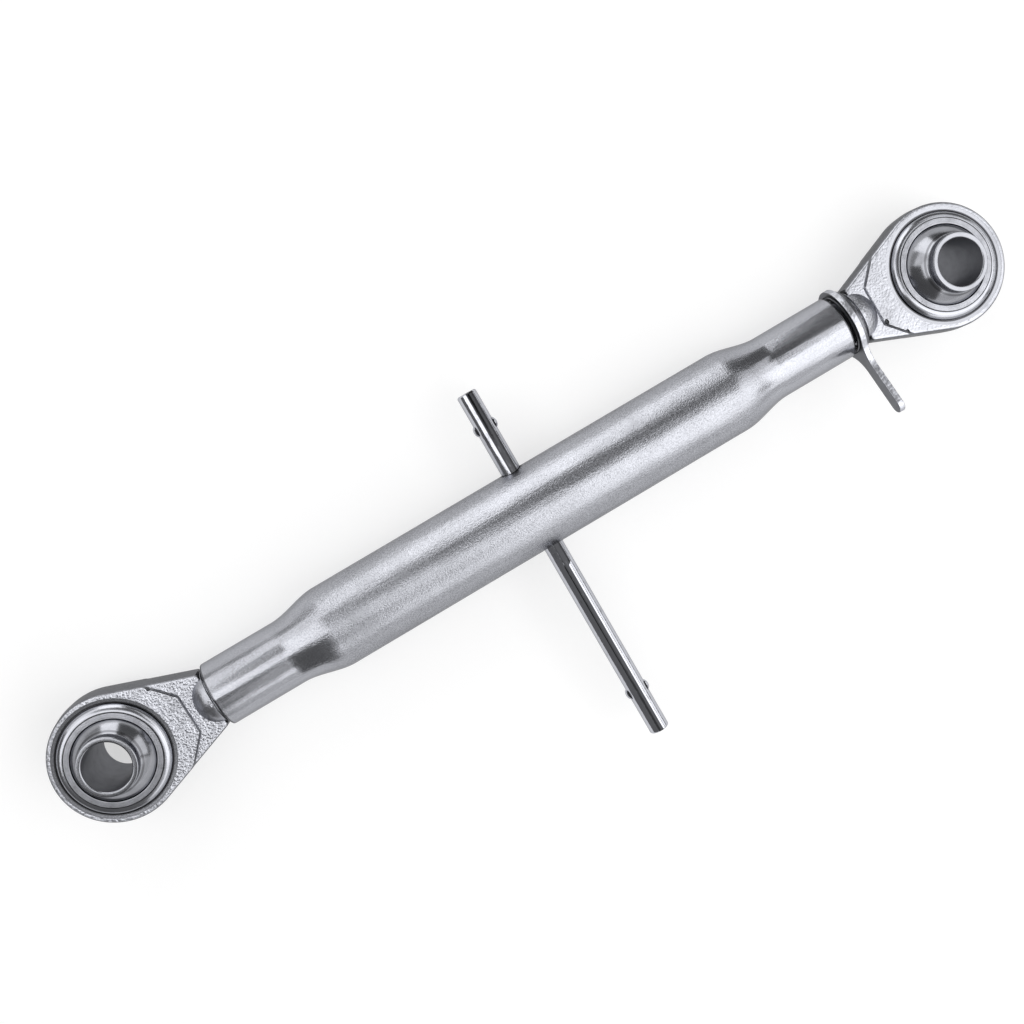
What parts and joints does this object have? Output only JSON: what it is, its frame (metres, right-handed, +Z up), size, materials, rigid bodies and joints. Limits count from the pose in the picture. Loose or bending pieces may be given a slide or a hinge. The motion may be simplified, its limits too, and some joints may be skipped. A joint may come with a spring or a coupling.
{
  "type": "tractor top link",
  "caption": "Adjustable top link for a three-point hitch: forged ball-joint eyes on threaded rods, a swaged turnbuckle tube, a sliding turning bar and a lock nut with a lever.",
  "frame": {"origin": "middle of the footprint of the closed link lying flat, on the surface that the balls rest on", "axes": "+X along the link towards the eye beside the lock nut, +Z up along the bores of the eyes, +Y along the turning bar towards its shorter side"},
  "size_m": [0.5828, 0.2126, 0.0535],
  "materials": {
    "zinc_forging": "zinc plated over a fine cast grain",
    "polished_ball": "turned and polished",
    "zinc_tube": "zinc plated, satin",
    "zinc_lever": "zinc plated",
    "bright_bar": "bright zinc plated"
  },
  "bodies": {
    "left_rod_end": {"left_rod_end": "zinc_forging"},
    "left_ball": {"left_ball": "polished_ball"},
    "right_rod_end": {"right_rod_end": "zinc_forging"},
    "right_ball": {"right_ball": "polished_ball"},
    "lock": {"lock_nut": "zinc_lever", "lock_lever": "zinc_lever"},
    "barrel_tube": {"barrel_tube": "zinc_tube"},
    "tommy_bar": {"tommy_bar": "bright_bar"}
  },
  "joints": [
    {"name": "lock_travel", "type": "slide", "parent": "left_rod_end", "child": "lock", "axis": [1, 0, 0], "range_m": [0, 0.1]},
    {"name": "tube_turn", "type": "hinge", "parent": "lock", "child": "barrel_tube", "pos_m": [-0.00245, 0.0354, 0.02678], "axis": [-1, 0, 0], "range_deg": [0, 12000]},
    {"name": "bar_slide", "type": "slide", "parent": "barrel_tube", "child": "tommy_bar", "axis": [0, 1, 0], "range_m": [-0.0233, 0.089]},
    {"name": "rod_travel", "type": "slide", "parent": "left_rod_end", "child": "right_rod_end", "axis": [1, 0, 0], "range_m": [0, 0.2001]},
    {"name": "left_ball_tilt", "type": "hinge", "parent": "left_rod_end", "child": "left_ball", "pos_m": [-0.2563, 0.0354, 0.02678], "axis": [0, 1, 0], "range_deg": [-15.7, 20.3]},
    {"name": "right_ball_tilt", "type": "hinge", "parent": "right_rod_end", "child": "right_ball", "pos_m": [0.2563, 0.0354, 0.02678], "axis": [0, 1, 0], "range_deg": [-23, 13]}
  ],
  "couplings": [
    {"joint": "lock_travel", "follows": "tube_turn", "m_per_rad": 0.00047746},
    {"joint": "rod_travel", "follows": "tube_turn", "m_per_rad": 0.00095493}
  ]
}
